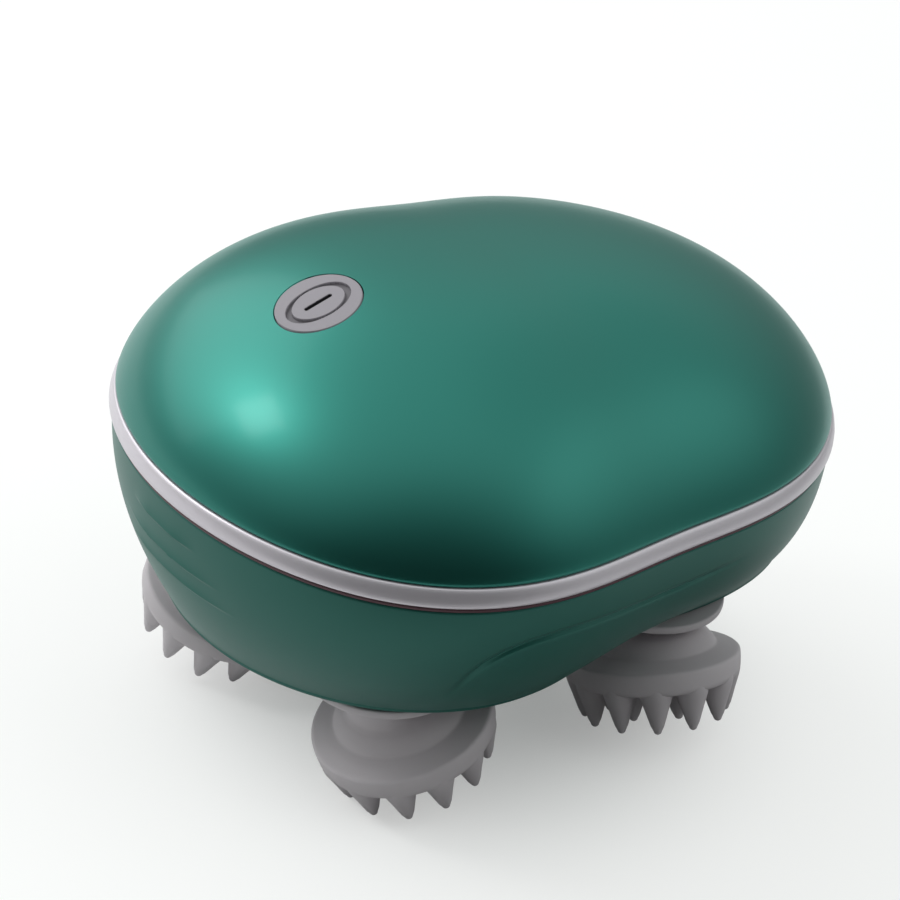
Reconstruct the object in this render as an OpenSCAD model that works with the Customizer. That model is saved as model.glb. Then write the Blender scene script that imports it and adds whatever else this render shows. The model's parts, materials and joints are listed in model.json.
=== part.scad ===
// Electric scalp massager: a domed, battery-driven housing that stands on four
// rotating silicone heads. Millimetres, +Z up, Z = 0 is the surface it stands on,
// +X is the long axis, and the origin is below the middle of the housing.

/* [Housing] */
// Overall length of the housing, along X
body_l = 118; // [114:0.5:124]
// Overall width of the housing, along Y
body_w = 97.4; // [95:0.2:104]
// Height of the trim band's lower edge above the surface it stands on
seam_z = 50.5; // [49:0.5:56]
// Rise of the lid above the trim band
dome_h = 27.2; // [26:0.2:34]
// Height of the underside of the lower shell
shell_z = 24.4; // [24.2:0.1:25]
// Length of the flat underside of the lower shell
foot_l = 109.4; // [106:0.2:112]
// Width of the flat underside of the lower shell
foot_w = 72.8; // [71:0.2:78]
// Wall of the lid and of the lower shell
wall = 2; // [1.6:0.1:2.4]
// Height of the trim band
trim_h = 2.8; // [2:0.2:4]
// How far the trim band's upper edge is set in
trim_rake = 0.7; // [0.3:0.1:1.2]

/* [Button] */
// Diameter of the power button
button_d = 12.8; // [11:0.2:14]
// Distance of the button from the middle of the dome, towards -X
button_x = 29.8; // [27:0.2:31]
// Gap round the button
button_gap = 0.35; // [0.2:0.05:0.6]
// Travel of the button
button_travel = 0.6; // [0.3:0.1:0.8]
// Side of the square push switch
switch_w = 6; // [5:0.5:7]
// Length of the circuit board
board_l = 23; // [22:0.5:24]
// Width of the circuit board
board_w = 20; // [19:0.5:22]
// Thickness of the circuit board
board_t = 1.6; // [1:0.2:2]

/* [Heads] */
// Spacing of the head shafts along X
head_dx = 51; // [50:0.2:53]
// Spacing of the head shafts along Y
head_dy = 39; // [38:0.2:40]
// Lean of the toothed discs, in degrees
lean = 20; // [12:1:21]
// Distance from that point to the top of the disc rim, along the leaning axis
disc_drop = 11.2; // [10.8:0.1:12]
// Diameter of the toothed disc
disc_d = 28.6; // [26:0.2:29]
// Thickness of the toothed disc at its rim
disc_t = 3; // [2.5:0.1:3.5]
// Diameter of the upper flange of a head
flange_d = 26.6; // [22:0.2:28]
// Thickness of the upper flange of a head
flange_t = 1.6; // [1.2:0.1:2]
// Gap between the lower shell and the heads
flange_gap = 0.35; // [0.3:0.05:0.6]
// Diameter of a head's waist
waist_d = 13; // [12:0.5:15]
// Diameter of the circle of outer tooth tips
tooth_ring_d = 22.7; // [20:0.1:24]
// Length of the outer teeth
tooth_l = 7.7; // [6:0.1:8]
// Number of outer teeth on a head
tooth_n = 12; // [8:1:14]
// Diameter of the circle of inner teeth
inner_ring_d = 12; // [10:0.5:14]
// Length of the inner teeth
inner_tooth_l = 6.6; // [5:0.1:7]
// Number of inner teeth on a head
inner_tooth_n = 6; // [4:1:8]

/* [Drive] */
// Diameter of the head shafts
shaft_d = 5; // [4:0.5:6]
// Teeth on the central gear
central_teeth = 48; // [44:1:52]
// Teeth on each output gear
output_teeth = 30; // [26:1:32]
// Teeth on the small wheel of the reduction gear
small_teeth = 12; // [12:1:14]
// Teeth on the large wheel of the reduction gear
large_teeth = 48; // [44:1:50]
// Teeth on the motor pinion
pinion_teeth = 12; // [12:1:14]
// Module of the motor pinion and of the large wheel
fine_module = 0.5; // [0.45:0.01:0.52]
// Face width of the output gears and the central gear
gear_w = 5; // [4:0.2:5.4]
// Face width of the large wheel
wheel_w = 3; // [2.4:0.2:3.4]
// Backlash taken off each tooth
backlash = 0.06; // [0.04:0.01:0.1]
// Thickness of the gearbox plates
plate_t = 2.4; // [2:0.1:2.8]
// Height of the gearbox above the floor of the lower shell
plate_lift = 3; // [2.6:0.1:3.4]
// Clear height between the two gearbox plates
gear_room = 10.6; // [10:0.1:12]
// Diameter of the central axle
central_axle_d = 4; // [3:0.5:4]
// Diameter of the reduction gear's axle
reduction_axle_d = 3; // [2:0.5:3]
// Running clearance of a shaft in its bore, on the radius
run_gap = 0.05; // [0.02:0.01:0.08]

/* [Power] */
// Diameter of the motor
motor_d = 24.4; // [22:0.2:26]
// Length of the motor
motor_l = 27; // [24:0.5:28]
// Diameter of the motor shaft
motor_shaft_d = 2.3; // [2:0.1:2.5]
// Diameter of the battery cell
battery_d = 14.2; // [13:0.2:15]
// Length of the battery cell
battery_l = 50; // [44:0.5:52]
// Bore of the charging socket
socket_bore_d = 3.6; // [3.4:0.1:4]
// Free depth of the charging socket, in front of its centre pin
socket_depth = 3; // [2:0.5:4]
// Depth of the charging socket's axis below the trim band's lower edge
socket_drop = 4.9; // [4.5:0.1:5.1]

/* [Hidden] */
$fn = 48;

lid_color = "#0f5a4c";
shell_color = "#1d4c42";
trim_color = "#a8a5ac";
rubber_color = "#77757b";
button_color = "#8b8890";
dark_color = "#3a3a3c";
steel_color = "#b9bcc0";
plate_color = "#d7d9da";
gear_color = "#e8e4d8";
bronze_color = "#c48f4e";
board_color = "#2f6b3a";
cell_color = "#3c6fa8";

// How far a cutting body passes the face it cuts
past = 1;

// Plan shape: lobe sizes of the seam outline and of the flat underside, as shares of
// the mean radius, for the first, second, third, fourth and sixth harmonic.
seam_lobes = [0.013, 0.104, 0.048, -0.022, 0.007];
foot_lobes = [0.046, 0.257, 0.111, 0.02, 0];
// Steps round the outline
ring_n = 72;

function swell(lobes, a) =
    1 + lobes[0]*cos(a) + lobes[1]*cos(2*a) + lobes[2]*cos(3*a)
    + lobes[3]*cos(4*a) + lobes[4]*cos(6*a);
function span_x(lobes) = swell(lobes, 0) + swell(lobes, 180);
function span_y(lobes) = 2*max([for (a = [60:2:120]) swell(lobes, a)*sin(a)]);
// A point of an outline that is l long and w wide, at polar angle a
function outline(lobes, l, w, a) =
    [l/span_x(lobes)*swell(lobes, a)*cos(a), w/span_y(lobes)*swell(lobes, a)*sin(a)];
// A point drawn in towards the middle by d
function drawn_in(p, d) = p*(1 - d/norm(p));
function seam_pt(a) = outline(seam_lobes, body_l, body_w, a);
function foot_pt(a) = outline(foot_lobes, foot_l, foot_w, a);

// The polar middle of the outlines lies off the middle of the housing, because one end
// of the seam is fuller than the other. The drive sits a little further over.
mid_x = -(seam_pt(0)[0] + seam_pt(180)[0])/2;
drive_x = mid_x - 1.3;

// Lid: profile of the dome, its shadow joint above the trim band and its thick rim
lid_z = seam_z + trim_h;
lid_set_in = trim_rake + 0.2;
joint_h = 0.35;
joint_w = 0.5;
rim_w = 3.2;
dome_shift = -1.9;
dome_flat = 2.55;
dome_round = 1.4;
dome_steps = [1, 0.99, 0.97, 0.94, 0.9, 0.84, 0.76, 0.66, 0.54, 0.4, 0.25, 0.1];
function dome_rise(s) = pow(1 - pow(s, dome_flat), 1/dome_round);
function dome_pt(a, s, set_in, rise) =
    let (p = drawn_in(seam_pt(a), set_in)*s)
    [mid_x + p[0] + dome_shift*(1 - s), p[1], lid_z + joint_h + rise*dome_rise(s)];

// Lower shell: its wall bows inwards from the seam down to the flat underside
shell_set_in = 0.5;
shell_steps = [0.04, 0.12, 0.24, 0.38, 0.52, 0.65, 0.77, 0.86, 0.93, 0.97, 0.99, 1];
cavity_steps = [0.05, 0.1, 0.16, 0.28, 0.42, 0.56, 0.7, 0.82, 0.92, 1];
thick_until = 0.12;
wall_bow = 2.5;
wall_run = 0.93;
floor_t = 2.2;
floor_z = shell_z + floor_t;
shell_h = seam_z - shell_z;
function taper(t) = pow(1 - pow(t, wall_bow), 1/wall_run);
function side_pt(a, t, d) =
    let (top = drawn_in(seam_pt(a), shell_set_in), foot = foot_pt(a))
    drawn_in(foot + (top - foot)*taper(t), d);
function side_ring(t, d) = [for (a = ring_angles())
    let (p = side_pt(a, t, d)) [mid_x + p[0], p[1], seam_z - shell_h*t]];
function ring_angles() = [for (j = [0:ring_n - 1]) j*360/ring_n];
function seam_ring(set_in, z) =
    [for (a = ring_angles()) let (p = drawn_in(seam_pt(a), set_in)) [mid_x + p[0], p[1], z]];

// Charging socket: its block, and where the outside of the shell wall lies in front of it
socket_z = seam_z - socket_drop;
socket_w = 9;
socket_h = 6.4;
socket_back = 9;
port_y = side_pt(90, (seam_z - socket_z)/shell_h, 0)[1];

// Drive levels, from the floor of the lower shell upwards
base_z = floor_z + plate_lift;
gear_z0 = base_z + plate_t;
end_gap = 0.3;
gear_bottom = gear_z0 + 0.6;
gear_top = gear_bottom + gear_w;
wheel_z = gear_top + 0.8;
cover_z = gear_z0 + gear_room;
motor_z = cover_z + plate_t;
gear_hub_z = gear_z0 + end_gap;
gear_hub_h = gear_room - 2*end_gap;
shaft_r = shaft_d/2;
gear_hub_r = shaft_r + 2;
seal_r = shaft_r + 3;
seal_lip = 1;
bush_r = shaft_r + 1.5;
plate_margin = 2;

// Gear train: the module of the slow gears follows the spacing of the heads
reach = norm([head_dx, head_dy])/2;
slow_module = 2*reach/(central_teeth + output_teeth);
reduction_y = slow_module*(central_teeth + small_teeth)/2;
motor_y = reduction_y - fine_module*(large_teeth + pinion_teeth)/2;
pressure_angle = 25;
flank_steps = 4;
tip_clear = 0.25;
corners = [[-1, -1], [1, -1], [-1, 1], [1, 1]];
function corner_pos(i) = [drive_x + corners[i][0]*head_dx/2, corners[i][1]*head_dy/2];
function corner_angle(i) = atan2(corners[i][1]*head_dy, corners[i][0]*head_dx);
// Rest angles of the four leaning discs
head_turn = [170, 83, 292, 20];

// Phase of a gear of n2 teeth that meshes with a gear of n1 teeth and phase f1, where
// the line from the first gear to the second points along b
function mesh_phase(b, f1, n1, n2) =
    let (u = (b - f1)*n1/360, part = u - floor(u))
    b + 180 - (0.5 - part)*360/n2;
central_phase = 0;
small_phase = mesh_phase(90, central_phase, central_teeth, small_teeth);
pinion_phase = mesh_phase(-90, small_phase, large_teeth, pinion_teeth);
function output_phase(i) =
    mesh_phase(corner_angle(i), central_phase, central_teeth, output_teeth);

// Screws: places, radii and seats
case_spots = [[-45.4, 0], [42, -13], [42, 13]];
case_screw_r = 1.5;
case_screw_l = 26;
case_seat_lift = 6;
case_seat_z = floor_z + case_seat_lift;
case_pillar_r = 3.8;
pillar_top = seam_z;
gearbox_spots = [[-30, 0], [30, 0], [-10, -31], [10, -31]];
gearbox_pillar_r = 2.8;
gearbox_screw_r = 1.2;
pilot_depth = 0.6;
plate_rim = 0.6;
// The plates end short of the charging socket's block
socket_clear = 0.8;
prop_y = port_y - wall - socket_back - socket_clear - plate_rim - gearbox_pillar_r;
prop_spots = [[-13, prop_y], [13, prop_y]];
screw_gap = 0.1;
motor_screw_x = 8;
motor_screw_r = 1;

// Button frame: +Z is the outward normal of the dome at the button
end_run = norm(drawn_in(seam_pt(180), lid_set_in));
button_s = button_x/end_run;
button_pos = dome_pt(180, button_s, lid_set_in, dome_h);
slope_step = dome_pt(180, button_s + 0.02, lid_set_in, dome_h)
    - dome_pt(180, button_s - 0.02, lid_set_in, dome_h);
button_tilt = atan2(slope_step[2], slope_step[0]) + 180;
button_r = button_d/2;
crown = 0.3;
cap_t = 4.4;
cap_flange_t = 0.8;
cap_flange = 1.1;
bore_reach = 2;
board_depth = 10.4;
board_shift = -0.5;
switch_h = 3.2;
plunger_r = 1.7;
plunger_h = 1;
stem_r = 2.2;
post_spots = [[-8.8, -7.4], [8.4, -7.4], [-8.8, 7.4], [8.4, 7.4]];
post_r = 1.9;
board_screw_r = 0.8;
board_screw_l = 5;

module button_frame() {
    translate([button_pos[0], 0, button_pos[2]]) rotate([0, -button_tilt, 0]) children();
}
module at_corner(i) {
    translate([corner_pos(i)[0], corner_pos(i)[1], 0]) children();
}
module at_drive(x, y) {
    translate([drive_x + x, y, 0]) children();
}
module ring(r_out, r_in, h) {
    difference() {
        cylinder(r = r_out, h = h);
        translate([0, 0, -past]) cylinder(r = r_in, h = h + 2*past);
    }
}
// A screw that points up: its head is below the origin, its shank above
module screw(r, l) {
    cylinder(r = r, h = l);
    translate([0, 0, -0.8*r]) cylinder(r = 1.8*r, h = 0.8*r);
}

// ---- Lofted shells -------------------------------------------------------------
// A closed loft through rings of equally many points, with flat caps
module loft(rings) {
    n = len(rings[0]);
    m = len(rings);
    polyhedron(
        points = [for (r = rings) each r],
        faces = concat(
            [[for (j = [n - 1:-1:0]) n - 1 - j]],
            [for (i = [0:m - 2]) for (j = [0:n - 1]) each
                [[i*n + j, (i + 1)*n + (j + 1)%n, i*n + (j + 1)%n],
                 [i*n + j, (i + 1)*n + j, (i + 1)*n + (j + 1)%n]]],
            [[for (j = [0:n - 1]) m*n - 1 - j]]
        )
    );
}
// A closed band: the last ring joins the first again
module band(rings) {
    n = len(rings[0]);
    m = len(rings);
    polyhedron(
        points = [for (r = rings) each r],
        faces = [for (i = [0:m - 1]) for (j = [0:n - 1]) each
            [[i*n + j, ((i + 1)%m)*n + (j + 1)%n, i*n + (j + 1)%n],
             [i*n + j, ((i + 1)%m)*n + j, ((i + 1)%m)*n + (j + 1)%n]]]
    );
}

// ---- Lid -------------------------------------------------------------------------
function dome_ring(s, set_in, rise) =
    [for (a = ring_angles()) dome_pt(a, s, set_in, rise)];
module dome_outside() {
    loft(concat(
        [seam_ring(lid_set_in + joint_w, lid_z)],
        [for (s = dome_steps) dome_ring(s, lid_set_in, dome_h)]
    ));
}
module dome_inside() {
    loft(concat(
        [seam_ring(lid_set_in + rim_w, lid_z - past)],
        [for (s = dome_steps) dome_ring(s, lid_set_in + rim_w, dome_h - wall)]
    ));
}
module lid() {
    color(lid_color) difference() {
        union() {
            dome_outside();
            for (p = case_spots) translate([p[0], p[1], pillar_top])
                cylinder(r = case_pillar_r, h = lid_z - pillar_top + past);
        }
        difference() {
            dome_inside();
            for (p = case_spots) translate([p[0], p[1], pillar_top - past])
                cylinder(r = case_pillar_r, h = dome_h);
            button_frame() for (p = post_spots) translate([p[0], p[1], -board_depth])
                cylinder(r = post_r, h = board_depth);
        }
        for (p = case_spots) translate([p[0], p[1], pillar_top - past])
            cylinder(r = case_screw_r, h = case_seat_z + case_screw_l - pillar_top + 2*past);
        button_frame() {
            translate([0, 0, -cap_t - bore_reach])
                cylinder(r = button_r + button_gap, h = cap_t + 4*bore_reach);
            for (p = post_spots) translate([p[0], p[1], -board_depth - past])
                cylinder(r = board_screw_r, h = board_screw_l - board_t + 1.6*past);
        }
    }
}

// ---- Trim, gasket and lower shell ------------------------------------------------
trim_w = 2.4;
gasket_gap = 0.2;
gasket_w = 1.2;
module trim_ring() {
    color(trim_color) band([
        seam_ring(trim_w, seam_z),
        seam_ring(0, seam_z),
        seam_ring(0, seam_z + trim_h*0.3),
        seam_ring(trim_rake, seam_z + trim_h),
        seam_ring(trim_w, seam_z + trim_h)
    ]);
}
module seal_gasket() {
    color(dark_color) band([
        seam_ring(trim_w + gasket_gap + gasket_w, seam_z),
        seam_ring(trim_w + gasket_gap, seam_z),
        seam_ring(trim_w + gasket_gap, seam_z + trim_h),
        seam_ring(trim_w + gasket_gap + gasket_w, seam_z + trim_h)
    ]);
}

bezel_r = 3.4;
bezel_proud = 0.3;
shelf_t = 2.4;
shelf_in = 4.6;
module shell_outside() {
    loft(concat(
        [for (k = [len(shell_steps) - 1:-1:0]) side_ring(shell_steps[k], 0)],
        [seam_ring(shell_set_in + joint_w, seam_z)]
    ));
}
module shell_cavity() {
    depth = (seam_z - floor_z)/shell_h;
    loft(concat(
        [for (k = [len(cavity_steps) - 1:-1:0])
            side_ring(cavity_steps[k]*depth, cavity_steps[k] < thick_until ? rim_w : wall)],
        [seam_ring(shell_set_in + rim_w, seam_z + past)]
    ));
}
module lower_shell() {
    color(shell_color) difference() {
        shell_outside();
        difference() {
            shell_cavity();
            for (p = case_spots) translate([p[0], p[1], shell_z])
                cylinder(r = case_pillar_r, h = pillar_top - shell_z + past);
            for (p = concat(gearbox_spots, prop_spots)) at_drive(p[0], p[1])
                translate([0, 0, shell_z]) cylinder(r = gearbox_pillar_r, h = base_z - shell_z);
            translate([mid_x - socket_w/2, port_y - wall - shelf_in, socket_z - socket_h/2 - shelf_t])
                cube([socket_w, shelf_in + wall, shelf_t]);
        }
        for (i = [0:3]) at_corner(i)
            translate([0, 0, shell_z - past]) cylinder(r = seal_r, h = floor_t + 2*past);
        for (p = case_spots) translate([p[0], p[1], 0]) {
            cylinder(r = 1.8*case_screw_r + 2*screw_gap, h = case_seat_z);
            cylinder(r = case_screw_r + screw_gap, h = seam_z + 2*past);
        }
        for (p = gearbox_spots) at_drive(p[0], p[1]) translate([0, 0, floor_z - pilot_depth])
            cylinder(r = gearbox_screw_r, h = plate_lift + past);
        translate([mid_x, port_y + past, socket_z]) rotate([90, 0, 0])
            cylinder(r = bezel_r, h = rim_w + 3*past);
    }
}
module case_screws() {
    color(steel_color) for (p = case_spots) translate([p[0], p[1], case_seat_z])
        screw(case_screw_r, case_screw_l);
}
module shaft_seals() {
    color(dark_color) for (i = [0:3]) at_corner(i) difference() {
        union() {
            translate([0, 0, shell_z + 0.2]) cylinder(r = seal_r, h = floor_t);
            translate([0, 0, floor_z]) cylinder(r = seal_r + seal_lip, h = 0.8);
        }
        translate([0, 0, shell_z]) cylinder(r = shaft_r + run_gap, h = floor_t + 2*past);
    }
}

// ---- Button, switch and board ------------------------------------------------------
oval_l = 0.73;
oval_w = 0.56;
groove_w = 0.09;
groove_t = 0.35;
bar_l = 0.33;
bar_w = 0.04;
// The oval follows the length of the housing, and so does the bar
module power_button() {
    color(button_color) button_frame() difference() {
        union() {
            rotate_extrude() polygon([
                [0, -cap_t], [button_r + cap_flange, -cap_t],
                [button_r + cap_flange, -cap_t + cap_flange_t],
                [button_r, -cap_t + cap_flange_t], [button_r, -crown - 0.3], [button_r - 0.3, -crown],
                [button_r*0.7, -crown*0.45], [button_r*0.35, -crown*0.1], [0, 0]
            ]);
            translate([0, 0, -board_depth + switch_h + plunger_h])
                cylinder(r = stem_r, h = board_depth - switch_h - plunger_h - cap_t + 0.5);
        }
        translate([0, 0, -groove_t - crown*0.4]) linear_extrude(height = 2) difference() {
            scale([oval_l + groove_w, oval_w + groove_w]) circle(r = button_r);
            scale([oval_l - groove_w, oval_w - groove_w/2]) circle(r = button_r);
        }
        translate([0, 0, -groove_t - crown*0.1]) linear_extrude(height = 2) hull() {
            for (e = [-1, 1]) translate([e*button_r*bar_l, 0]) circle(r = button_r*bar_w*1.6);
        }
    }
}
module switch_plunger() {
    color(dark_color) button_frame() translate([0, 0, -board_depth + switch_h - 1.6])
        cylinder(r = plunger_r, h = plunger_h + 1.6);
}
module tact_switch() {
    color(dark_color) button_frame() difference() {
        translate([-switch_w/2, -switch_w/2, -board_depth]) cube([switch_w, switch_w, switch_h]);
        translate([0, 0, -board_depth + 0.8]) cylinder(r = plunger_r + run_gap, h = switch_h);
    }
}
chip_w = 5;
module circuit_board() {
    color(board_color) button_frame() difference() {
        union() {
            translate([board_shift - board_l/2, -board_w/2, -board_depth - board_t])
                cube([board_l, board_w, board_t]);
            translate([-chip_w/2, -chip_w/2, -board_depth - board_t - 1.2])
                cube([chip_w, chip_w, 1.2 + board_t/2]);
        }
        for (p = post_spots) translate([p[0], p[1], -board_depth - board_t - past])
            cylinder(r = board_screw_r + screw_gap, h = board_t + 2*past);
    }
}
module board_screws() {
    color(steel_color) button_frame() for (p = post_spots)
        translate([p[0], p[1], -board_depth - board_t]) screw(board_screw_r, board_screw_l);
}

// ---- Charging socket ------------------------------------------------------------------
pin_r = 0.5;
pin_l = 2.5;
pocket_step = 0.5;
// The centre pin stands in a narrower pocket, behind the free depth of the bore
module charge_socket() {
    color(dark_color) translate([mid_x, port_y - wall, socket_z]) difference() {
        union() {
            translate([-socket_w/2, -socket_back, -socket_h/2])
                cube([socket_w, socket_back - rim_w + wall - 0.3, socket_h]);
            rotate([90, 0, 0]) cylinder(r = bezel_r - 1, h = socket_back/2);
        }
        rotate([90, 0, 0]) {
            translate([0, 0, -past]) cylinder(d = socket_bore_d, h = socket_depth + past);
            difference() {
                cylinder(r = socket_bore_d/2 - pocket_step, h = socket_depth + pin_l);
                translate([0, 0, socket_depth]) cylinder(r = pin_r, h = pin_l + past);
            }
        }
    }
}
module port_bezel() {
    color(trim_color) translate([mid_x, port_y + bezel_proud, socket_z]) rotate([90, 0, 0])
        ring(bezel_r, bezel_r - 1, bezel_proud + wall + 0.8);
}

// ---- Massage heads ----------------------------------------------------------------------
flange_top = shell_z - flange_gap;
flange_low = flange_top - flange_t;
tip_r = 0.7;
tooth_root_r = 2.6;
neck_h = 4.6;
edge = 0.5;
soft_edge = 0.8;
// The bulge over the disc: its size, and its profile as shares of radius and height
bulge_d = 20;
bulge_h = 6.6;
bulge_profile = [[1, 0.14], [0.9, 0.3], [0.84, 0.52], [0.76, 0.73], [0.64, 0.88], [0, 1]];
// Height of the point where the leaning axis meets the shaft, for tips that touch Z = 0
lean_z = (disc_drop + disc_t + tooth_l - tip_r)*cos(lean) + tooth_ring_d/2*sin(lean) + tip_r;
// The leaning frame of a head: its origin is the middle of the rim's upper edge, and its
// +X side is the low side
module disc_frame() {
    translate([0, 0, lean_z]) rotate([0, lean, 0]) translate([0, 0, -disc_drop]) children();
}
module teeth(n, ring_r, length) {
    for (k = [0:n - 1]) rotate([0, 0, k*360/n]) translate([ring_r, 0, -length + tip_r]) {
        cylinder(r1 = tip_r, r2 = tooth_root_r, h = length - tip_r);
        sphere(r = tip_r);
    }
}
hub_flange_r = 8.5;
hub_flange_t = 1.1;
hub_stub_r = 4.2;
hub_depth = 7.6;
hub_low = flange_top - hub_depth;
pocket_gap = 0.04;
module hub_body(grow) {
    translate([0, 0, flange_top - hub_flange_t - grow])
        cylinder(r = hub_flange_r + grow, h = hub_flange_t + grow + (grow > 0 ? past : 0));
    translate([0, 0, hub_low - grow]) cylinder(r = hub_stub_r + grow, h = flange_top - hub_low);
}
module massage_head() {
    color(rubber_color) difference() {
        union() {
            rotate_extrude() polygon([
                [0, flange_low - neck_h], [waist_d/2 - edge, flange_low - neck_h],
                [waist_d/2, flange_low - neck_h*0.7],
                [waist_d/2 + edge/2, flange_low - neck_h*0.35],
                [waist_d/2 + 3*edge, flange_low - neck_h*0.1],
                [flange_d/2 - soft_edge, flange_low], [flange_d/2, flange_low + edge],
                [flange_d/2, flange_top - edge/2], [flange_d/2 - edge/2, flange_top],
                [0, flange_top]
            ]);
            disc_frame() {
                rotate_extrude() polygon(concat(
                    [[0, -disc_t], [disc_d/2 - 1.5*soft_edge, -disc_t],
                     [disc_d/2 - edge/2, -disc_t + soft_edge],
                     [disc_d/2, -edge], [disc_d/2 - edge, 0]],
                    [for (p = bulge_profile) [p[0]*bulge_d/2, p[1]*bulge_h]]
                ));
                translate([0, 0, -disc_t]) {
                    teeth(tooth_n, tooth_ring_d/2, tooth_l);
                    teeth(inner_tooth_n, inner_ring_d/2, inner_tooth_l);
                }
            }
        }
        hub_body(pocket_gap);
    }
}
module head_hub() {
    color(dark_color) difference() {
        hub_body(0);
        translate([0, 0, hub_low + 1]) cylinder(r = shaft_r, h = flange_top);
    }
}

// ---- Spindles and gears -------------------------------------------------------------
module spindle_shaft() {
    color(steel_color) translate([0, 0, hub_low + 1])
        cylinder(r = shaft_r, h = motor_z - 0.4 - hub_low - 1);
}
function involute(base_r, roll) =
    [base_r*(cos(roll) + roll*PI/180*sin(roll)), base_r*(sin(roll) - roll*PI/180*cos(roll))];
// Angles along a flank, in degrees of roll
function flank_point(base_r, roll, t, side) =
    let (p = involute(base_r, roll), r = norm(p), a = t + side*atan2(p[1], p[0]))
    [r*cos(a), r*sin(a)];
// A spur gear's outline: n teeth of module m, the first one centred on the X axis
module gear_outline(n, m) {
    pitch_r = n*m/2;
    base_r = pitch_r*cos(pressure_angle);
    root_r = pitch_r - (1 + tip_clear)*m;
    outer_r = pitch_r + m;
    roll_a = sqrt(pow(max(base_r, root_r)/base_r, 2) - 1)*180/PI;
    roll_b = sqrt(pow(outer_r/base_r, 2) - 1)*180/PI;
    roll_d = (roll_b - roll_a)/flank_steps;
    half = 90/n + tan(pressure_angle)*180/PI - pressure_angle - backlash/(2*pitch_r)*180/PI;
    polygon([for (t = [0:n - 1]) let (c = t*360/n) each concat(
        [[root_r*cos(c - half), root_r*sin(c - half)]],
        [for (k = [0:flank_steps]) flank_point(base_r, roll_a + roll_d*k, c - half, 1)],
        [for (k = [flank_steps:-1:0]) flank_point(base_r, roll_a + roll_d*k, c + half, -1)],
        [[root_r*cos(c + half), root_r*sin(c + half)]]
    )]);
}
module spur_gear(n, m, h, phase) {
    rotate([0, 0, phase]) linear_extrude(height = h) gear_outline(n, m);
}
module output_gear(i) {
    color(gear_color) difference() {
        union() {
            translate([0, 0, gear_bottom])
                spur_gear(output_teeth, slow_module, gear_w, output_phase(i));
            translate([0, 0, gear_hub_z]) cylinder(r = gear_hub_r, h = gear_hub_h);
        }
        translate([0, 0, gear_hub_z - past]) cylinder(r = shaft_r, h = gear_room + 2*past);
    }
}
module central_gear() {
    color(gear_color) at_drive(0, 0) difference() {
        union() {
            translate([0, 0, gear_bottom])
                spur_gear(central_teeth, slow_module, gear_w, central_phase);
            translate([0, 0, gear_hub_z]) cylinder(r = central_axle_d/2 + 1.6, h = gear_w + 0.8);
        }
        translate([0, 0, gear_hub_z - past])
            cylinder(r = central_axle_d/2 + run_gap, h = gear_room + 2*past);
    }
}
module reduction_gear() {
    color(gear_color) at_drive(0, reduction_y) difference() {
        union() {
            translate([0, 0, gear_bottom])
                spur_gear(small_teeth, slow_module, wheel_z - gear_bottom + 0.5, small_phase);
            translate([0, 0, wheel_z]) spur_gear(large_teeth, fine_module, wheel_w, small_phase);
            translate([0, 0, gear_hub_z]) cylinder(r = reduction_axle_d/2 + 1, h = gear_hub_h);
        }
        translate([0, 0, gear_hub_z - past])
            cylinder(r = reduction_axle_d/2 + run_gap, h = gear_room + 2*past);
    }
}
module motor_pinion() {
    color(bronze_color) at_drive(0, motor_y) difference() {
        translate([0, 0, wheel_z]) spur_gear(pinion_teeth, fine_module, wheel_w, pinion_phase);
        translate([0, 0, wheel_z - past]) cylinder(r = motor_shaft_d/2, h = wheel_w + 2*past);
    }
}
shaft_share = 0.6;
module motor_shaft() {
    color(steel_color) at_drive(0, motor_y) translate([0, 0, wheel_z - 0.2])
        cylinder(r = motor_shaft_d/2, h = motor_z + motor_l*shaft_share - wheel_z);
}
module central_axle() {
    color(steel_color) at_drive(0, 0) translate([0, 0, base_z])
        cylinder(d = central_axle_d, h = motor_z - base_z);
}
module reduction_axle() {
    color(steel_color) at_drive(0, reduction_y) translate([0, 0, base_z])
        cylinder(d = reduction_axle_d, h = motor_z - base_z);
}

// ---- Gearbox ---------------------------------------------------------------------------
motor_boss_r = 3.9;
motor_boss_h = 1.6;
module plate_outline() {
    hull() {
        for (i = [0:3]) translate(corner_pos(i)) circle(r = bush_r + plate_margin);
        for (p = concat(gearbox_spots, prop_spots)) translate([drive_x + p[0], p[1]])
            circle(r = gearbox_pillar_r + plate_rim);
    }
}
module plate(z) {
    difference() {
        translate([0, 0, z]) linear_extrude(height = plate_t) plate_outline();
        for (i = [0:3]) at_corner(i) translate([0, 0, z - past])
            cylinder(r = bush_r, h = plate_t + 2*past);
        at_drive(0, 0) translate([0, 0, z - past])
            cylinder(d = central_axle_d, h = plate_t + 2*past);
        at_drive(0, reduction_y) translate([0, 0, z - past])
            cylinder(d = reduction_axle_d, h = plate_t + 2*past);
    }
}
module gearbox_base() {
    color(plate_color) difference() {
        union() {
            plate(base_z);
            for (p = gearbox_spots) at_drive(p[0], p[1]) translate([0, 0, gear_z0 - 0.5])
                cylinder(r = gearbox_pillar_r, h = gear_room + 0.5);
        }
        for (p = gearbox_spots) at_drive(p[0], p[1]) translate([0, 0, base_z - past])
            cylinder(r = gearbox_screw_r + screw_gap, h = gear_room + plate_t + 2*past);
    }
}
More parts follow.
